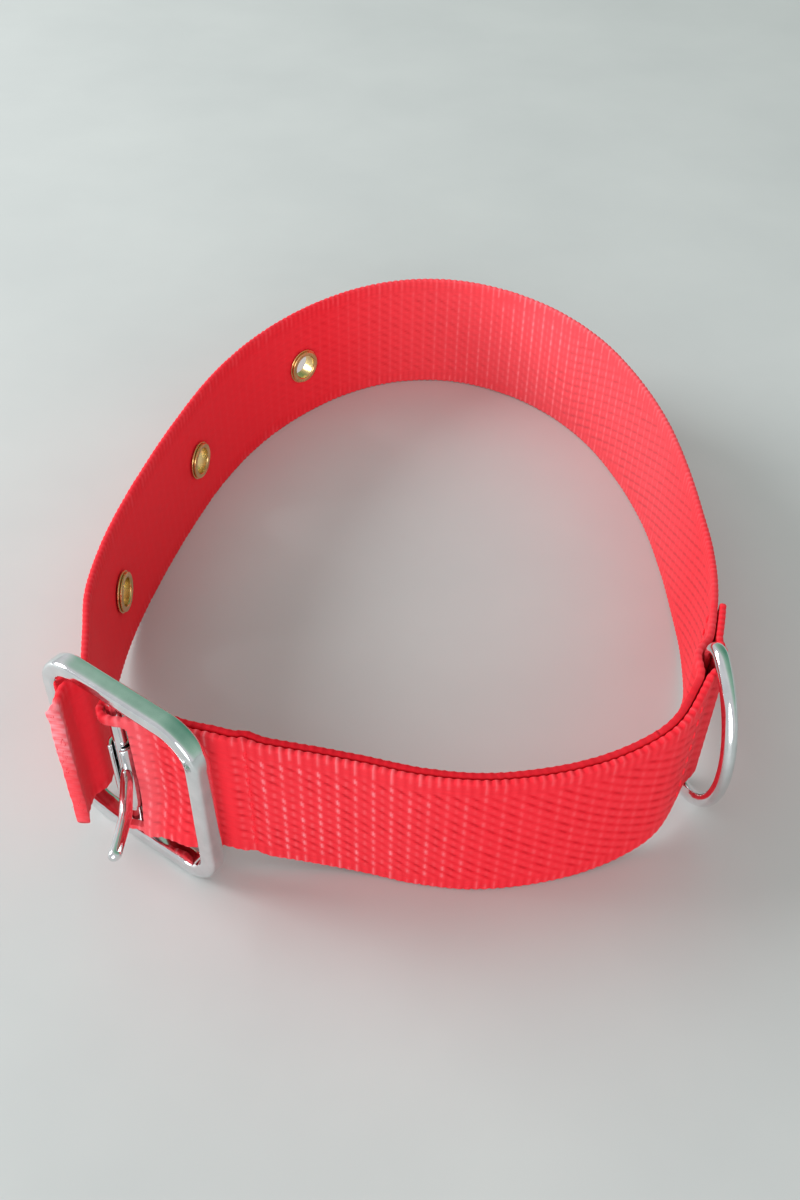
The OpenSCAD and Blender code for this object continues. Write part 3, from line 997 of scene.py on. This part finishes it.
# How the weave changes along each ply: the strength of its columns and grooves, the lean and waves
# of its ribs, how far the grooves run on through the columns, its colour, and an even painted sheen
NECK_LOOK = {
    "at": [0, 6, 130, 165, 195, 230, 245, 290, 330, 490],
    "columns": [0.03, 0.03, 0.04, 0.06, 0.2, 0.8, 0.5, 0.2, 0.1, 0.1],
    "ribs": [0.3, 0.12, 0.15, 0.6, 1.0, 0.8, 1.3, 1.5, 1.4, 1.2],
    "lean": [1, 1, 1, 1, 1, 0.8, -0.5, -0.6, -0.65, -0.65],
    "wave": [0.2] * 10,
    "joined": [0.2, 0.2, 0.2, 0.2, 0.2, 0.2, 0.6, 0.7, 0.7, 0.7],
    "tone": [1.0, 0.8, 0.8, 0.9, 1.0, 0.9, 0.75, 0.65, 0.6, 0.55],
    "painted_sheen": [0.0, 0.0, 0.0, 0.02, 0.12, 0.24, 0.24, 0.22, 0.08, 0.0],
}
OUTER_LOOK = {
    "at": [FOLD_FROM, FOLD_TO + 22, FOLD_TO + 34, FOLD_TO + 52, FOLD_TO + 70, FOLD_TO + 136],
    "columns": [0.9, 0.8, 1.0, 0.9, 0.25, 0.05],
    "ribs": [1.6, 1.6, 1.5, 1.5, 1.35, 1.15],
    "lean": [1] * 6,
    "wave": [0.9, 0.9, 0.45, 0.1, 0.0, 0.0],
    "joined": [0.2, 0.2, 0.2, 0.2, 0.4, 0.65],
    "tone": [0.9, 0.9, 0.9, 0.95, 0.95, 0.9],
    "painted_sheen": [0.05, 0.03, 0.03, 0.03, 0.0, 0.0],
}
# The neck ply has finer steps at the back, where its weave is seen best
FINE_FROM = 90 * PICK
FINE_TO = 210 * PICK
INNER_FROM = 238 * PICK
neck_steps = np.concatenate([
    np.arange(0, FINE_FROM, PICK / 2),
    np.arange(FINE_FROM, FINE_TO, PICK / 4),
    np.arange(FINE_TO, INNER_FROM + 0.1, PICK / 2),
])
inner_steps = evenly(INNER_FROM, FOLD_FROM, PICK / 3)
outer_steps = evenly(FOLD_FROM, strip_length[-1], PICK / 6)
webbing_piece("webbing_neck_ply", neck_steps, row=0.55, look=NECK_LOOK, broken=0.7, frayed=True)
webbing_piece("webbing_inner_ply", inner_steps, row=0.6, look=NECK_LOOK, broken=0.7)
webbing_piece("webbing_outer_ply", outer_steps, row=0.45, look=OUTER_LOOK, broken=1.0)
loose_fibres()


# Sewing

def stitch_outline():
    """One stitch from the side: a loop with round corners, bulging on the faces of the strap."""
    through = 2 * PLY_T + PLY_GAP
    half_w = through / 2 + THREAD_T / 2 - STITCH_SINK - STITCH_PULL
    half_h = (STITCH_L - THREAD_T) / 2
    corners = [[half_w, -half_h], [half_w, half_h], [-half_w, half_h], [-half_w, -half_h]]
    outline = soften(corners, STITCH_CORNER, 8)
    outline = np.vstack([np.linspace(a, b, 5)[:-1] for a, b in zip(outline, np.roll(outline, -1, 0))])
    bulge = STITCH_BULGE * np.cos(np.pi / 2 * np.clip(outline[:, 1] / half_h, -1, 1))
    outline[:, 0] += np.sign(outline[:, 0]) * bulge
    return outline


def twisted_thread(count):
    """Sections of two-ply thread, turning along its length."""
    turn_by = np.linspace(0, 2 * np.pi * THREAD_TWISTS, count, endpoint=False)
    angles = np.arange(THREAD_SIDES) * 2 * np.pi / THREAD_SIDES
    radius = THREAD_T / 2 * (0.84 + 0.16 * np.cos(2 * (angles[None] - turn_by[:, None])))
    return np.stack([radius * np.cos(angles), radius * np.sin(angles)], -1)


def stitch_row(node, s):
    """A row of stitches across the strap: each one a loop of thread through both plies."""
    point, turn = at_length(route, route_s, np.array([s]))
    side = np.append(outward(turn[0]), 0)
    along = np.append(turn[0], 0)
    middle = point[0] + side * PLY_STEP / 2 + UP * STRAP_W / 2
    outline = stitch_outline()
    normal = normals_of(outline)
    across = normal[:, :1] * side + normal[:, 1:] * UP
    section = twisted_thread(len(outline))
    pitch = (STRAP_W - 2 * SEAM_EDGE) / STITCHES
    parts = []
    for k in range(STITCHES):
        tilt = RNG.normal(0, STITCH_TILT)
        lean = along * math.cos(tilt) + UP * math.sin(tilt)
        centre = middle + UP * (k - (STITCHES - 1) / 2) * pitch + along * RNG.normal(0, STITCH_STRAY)
        path = centre + outline[:, :1] * side + outline[:, 1:] * UP
        parts.append(tube(path, across, repeated(lean, len(path)), section))
    points, faces = joined(parts)
    make_mesh(node.replace("seam", "stitches"), points, faces, THREAD, "collar", [node])


for node, s in SEAMS.items():
    stitch_row(node, s)


# Buckle and ring

def frame_form(corner_steps=25):
    """The buckle's frame: one soft-edged bar round a rectangle with round corners."""
    half_w = FRAME_W / 2 - FRAME_BAR / 2
    half_h = FRAME_H / 2 - FRAME_BAR / 2
    r = FRAME_CORNER
    path, normal = [], []
    for q, (sx, sz) in enumerate(((1, 1), (-1, 1), (-1, -1), (1, -1))):
        for a in np.linspace(q, q + 1, corner_steps) * np.pi / 2:
            n = np.array([math.cos(a), math.sin(a)])
            path.append([sx * (half_w - r) + r * n[0], sz * (half_h - r) + r * n[1]])
            normal.append(n)
    path, normal = np.array(path), np.array(normal)
    place = from_buckle(path[:, 0], 0, FRAME_H / 2 + path[:, 1])
    origin = from_buckle(0, 0, 0)
    side = from_buckle(normal[:, 0], 0, normal[:, 1]) - origin
    deep = repeated(from_buckle(0, -1, 0) - origin, len(path))
    points, faces = tube(place, side, deep, soft_square(FRAME_BAR, FRAME_D))
    make_mesh("buckle_frame_form", points, faces, CHROME, "buckle", ["buckle_frame"])


def on_tongue(x, y, z):
    """Points in the tongue's own frame, whose axis is the centre bar, placed in the collar."""
    return from_buckle(x, y, TONGUE_Z + np.asarray(z), BUCKLE_YAW - TONGUE_OPEN, BAR_X)


def sleeve_section(inset, turn_steps=60, lip_steps=9):
    """The rolled sheet from above: radius and turn along its outside, round its lips and back inside."""
    middle = SLEEVE_R + SLEEVE_WALL / 2
    half = SLEEVE_WALL / 2 - inset
    turn = np.linspace(0, SLEEVE_TURN, turn_steps)
    lip = np.linspace(0, np.pi, lip_steps)[1:-1]
    radius = np.concatenate([
        np.full(turn_steps, middle + half), middle + half * np.cos(lip),
        np.full(turn_steps, middle - half), middle - half * np.cos(lip)])
    angle = np.concatenate([
        turn, SLEEVE_TURN + half * np.sin(lip) / middle,
        turn[::-1], -half * np.sin(lip) / middle])
    return radius * np.cos(angle), radius * np.sin(angle)


def sleeve_form(levels=10):
    """The sheet rolled round the centre bar, with rounded ends."""
    low = -SLEEVE_H / 2 - SLEEVE_DROP
    sections = [(low + z, inset) for z, inset in SLEEVE_ENDS]
    sections += [(low + SLEEVE_H * k / levels, 0.0) for k in range(1, levels)]
    sections += [(low + SLEEVE_H - z, inset) for z, inset in SLEEVE_ENDS[::-1]]
    rings = np.array([on_tongue(*sleeve_section(inset), z) for z, inset in sections])
    return rings.reshape(-1, 3), capped(*rings.shape[:2])


def prong_form(steps=60, tip_steps=14, sides=32):
    """The prong: a round wire with a tall root, a bend and a round tip."""
    r = TONGUE_DIA / 2
    tip_from = TONGUE_L - r
    x = np.concatenate([
        np.linspace(SLEEVE_R + ROOT_SUNK, tip_from, steps),
        tip_from + r * np.sin(np.linspace(0, np.radians(88), tip_steps)[1:])])
    u = x - PRONG_BEND + BEND_L / 2
    bent = np.where(u < BEND_L, u**2 / (2 * BEND_L), u - BEND_L / 2)
    drop = math.tan(PRONG_TURN) * np.where(u < 0, 0, bent)
    radius = np.where(x < tip_from, r, np.sqrt(np.maximum(r**2 - (x - tip_from) ** 2, 0)))
    root = np.exp(-np.maximum(x - SLEEVE_R - SLEEVE_WALL, 0) / ROOT_L)
    thick = radius * (1 - ROOT_THINNER * root)
    tall = radius * (1 + ROOT_TALLER * root)
    section = np.stack([thick, tall], -1)[:, None] * circle(1, sides)
    side = repeated(on_tongue(0, 1, 0) - on_tongue(0, 0, 0), len(x))
    return tube(on_tongue(x, -drop, 0), side, repeated(UP, len(x)), section, closed=False)


def tongue_form():
    """The tongue: a sheet rolled round the centre bar and a prong that grows out of it."""
    points, faces = joined([sleeve_form(), prong_form()])
    make_mesh("buckle_tongue_form", points, faces, CHROME, "tongue", ["buckle_tongue"])


def ring_form(bar_steps=16, corner_steps=14, bow_steps=72, sides=40):
    """The leash ring: one bent wire, straight along its bar and round along its bow."""
    bow_x = RING_DEPTH - RING_BOW
    straight = math.sqrt((RING_BOW - RING_CORNER) ** 2 - (RING_CORNER - bow_x) ** 2)
    bow_turn = math.atan2(straight, RING_CORNER - bow_x)
    path = np.vstack([
        np.stack([np.zeros(bar_steps), np.linspace(-straight, straight, bar_steps)], -1),
        arc(RING_CORNER, straight, RING_CORNER, np.pi, bow_turn, corner_steps),
        arc(bow_x, 0, RING_BOW, bow_turn, -bow_turn, bow_steps),
        arc(RING_CORNER, -straight, RING_CORNER, -bow_turn, -np.pi, corner_steps)[:-1],
    ])
    normal = -normals_of(path)
    turn = RING_TURN - np.pi / 2
    ahead = np.array([math.cos(turn), math.sin(turn), 0])
    aside = np.array([-ahead[1], ahead[0], 0])
    axis = beside_route(np.array([ring_s]), [PLY_STEP / 2])[0, :2]
    centre = np.append(axis, straight + RING_CORNER + RING_WIRE / 2)
    place = centre + path[:, :1] * ahead + path[:, 1:] * UP
    side = normal[:, :1] * ahead + normal[:, 1:] * UP
    points, faces = tube(place, side, repeated(aside, len(path)), circle(RING_WIRE / 2, sides))
    make_mesh("d_ring_form", points, faces, CHROME, "leash_ring", ["d_ring"])


frame_form()
tongue_form()
ring_form()
bar = bpy.data.objects["centre_bar"]
bar.data.materials.clear()
bar.data.materials.append(CHROME)
bar.data.shade_smooth()


# Eyelets

def revolved(name, node, s, profile, sides=72):
    """A turned ring at a place along the strap, its axis out of the collar."""
    point, turn = at_length(route, route_s, np.array([s]))
    side = np.append(outward(turn[0]), 0)
    along = np.append(turn[0], 0)
    centre = point[0] + UP * STRAP_W / 2
    a = np.arange(sides)[:, None, None] * 2 * np.pi / sides
    radial = np.cos(a) * UP + np.sin(a) * along
    points = centre + profile[None, :, :1] * radial + profile[None, :, 1:] * side
    faces = skin(sides, len(profile), True)
    make_mesh(name, points, faces, BRASS, "collar", [node])


def eyelet_profile():
    bore = EYELET_HOLE / 2
    barrel = bore + EYELET_WALL
    rim = EYELET_FLANGE / 2
    top = PLY_T / 2 + EYELET_ROOM
    lip = -PLY_T / 2 - WASHER_SEAT - WASHER_T - EYELET_ROOM
    return soften([
        [bore, lip - LIP_T], [barrel + LIP_W, lip - LIP_T], [barrel + LIP_W, lip], [barrel, lip],
        [barrel, top], [rim, top], [rim, top + FLANGE_SIDE],
        [rim - FLANGE_BEVEL, top + FLANGE_T], [bore, top + FLANGE_T],
    ], EYELET_SOFT)


def washer_profile():
    bore = EYELET_HOLE / 2 + EYELET_WALL + WASHER_ROOM
    rim = EYELET_FLANGE / 2
    seat = -PLY_T / 2 - WASHER_SEAT
    corners = [[bore, seat - WASHER_T], [rim, seat - WASHER_T], [rim, seat], [bore, seat]]
    return soften(corners, WASHER_SOFT)


for i, s in enumerate(EYELETS_AT, 1):
    revolved(f"eyelet_{i}_form", f"eyelet_{i}", s, eyelet_profile())
    revolved(f"eyelet_washer_{i}_form", f"eyelet_washer_{i}", s, washer_profile())


# Floor, light and camera, in metres

CAMERA_AT = (-0.0005, -0.208, 0.19674)
CAMERA_AHEAD = (0, 0.7204, -0.6936)
CAMERA_RIGHT = (0.99982, 0.01334, 0.01385)
CAMERA_LENS = 35.5
CAMERA_SENSOR = 36
LIGHT_AIM = (0, 0, 0.02)
# Reflected room: pale at the sides, green towards one upper corner
GREEN_WAY = (0.62, 0.58, 0.53)
ROOM_STOPS = [
    (0.0, (0.62, 0.62, 0.64)), (0.3, (0.68, 0.68, 0.69)),
    (0.6, (0.31, 0.48, 0.38)), (1.0, (0.09, 0.27, 0.18)),
]
ROOM_LIGHT = (0.56, 0.59, 0.57)
BACKGROUND = (0.86, 0.87, 0.88)


def unit(vector):
    v = np.array(vector, float)
    return v / np.linalg.norm(v)


def placed(right, up, back, place):
    """Matrix of an object from the directions of its axes and its place."""
    matrix = np.eye(4)
    matrix[:3] = np.stack([right, up, back, place], 1)
    return Matrix(matrix.tolist())


def floor_plane(half=4.0):
    mesh = bpy.data.meshes.new("floor")
    corners = [(-half, -half, 0), (half, -half, 0), (half, half, 0), (-half, half, 0)]
    mesh.from_pydata(corners, [], [(0, 1, 2, 3)])
    mesh.materials.append(floor_material())
    floor = bpy.data.objects.new("floor", mesh)
    bpy.context.scene.collection.objects.link(floor)


def area_light(name, place, size, power, colour):
    data = bpy.data.lights.new(name, "AREA")
    data.shape = "DISK"
    data.size = size
    data.energy = power
    data.color = colour
    light = bpy.data.objects.new(name, data)
    bpy.context.scene.collection.objects.link(light)
    away = unit(np.subtract(place, LIGHT_AIM))
    right = unit(np.cross(UP, away))
    light.matrix_world = placed(right, np.cross(away, right), away, place)


def soft_world():
    """An even pale room, green in its reflections overhead, and a pale background for the camera."""
    world = bpy.data.worlds.new("room")
    bpy.context.scene.world = world
    world.use_nodes = True
    nodes, links = world.node_tree.nodes, world.node_tree.links
    back = nodes["Background"]
    towards = nodes.new("ShaderNodeVectorMath")
    towards.operation = "DOT_PRODUCT"
    towards.inputs[1].default_value = GREEN_WAY
    links.new(nodes.new("ShaderNodeTexCoord").outputs["Generated"], towards.inputs[0])
    room = ramp(nodes, links, towards.outputs["Value"], ROOM_STOPS)
    path = nodes.new("ShaderNodeLightPath")
    lit = mixed(nodes, links, ROOM_LIGHT, room, path.outputs["Is Glossy Ray"])
    seen = mixed(nodes, links, lit, BACKGROUND, path.outputs["Is Camera Ray"])
    links.new(seen, back.inputs["Color"])
    back.inputs["Strength"].default_value = 1.0


def photo_camera():
    """Camera that matches the photograph's view of the collar."""
    ahead = unit(CAMERA_AHEAD)
    right = unit(CAMERA_RIGHT)
    data = bpy.data.cameras.new("camera")
    data.lens = CAMERA_LENS
    data.sensor_width = CAMERA_SENSOR
    data.clip_start = 0.01
    camera = bpy.data.objects.new("camera", data)
    bpy.context.scene.collection.objects.link(camera)
    camera.matrix_world = placed(right, np.cross(right, ahead), -ahead, CAMERA_AT)
    bpy.context.scene.camera = camera


floor_plane()
area_light("window", (-1.0, 0.2, 0.5), size=0.7, power=12.5, colour=(0.99, 0.99, 1.0))
area_light("front_fill", (0.1, -4.0, 1.0), size=3.3, power=108, colour=(1.0, 0.98, 0.99))
soft_world()
photo_camera()
bpy.context.scene.view_settings.view_transform = "Standard"
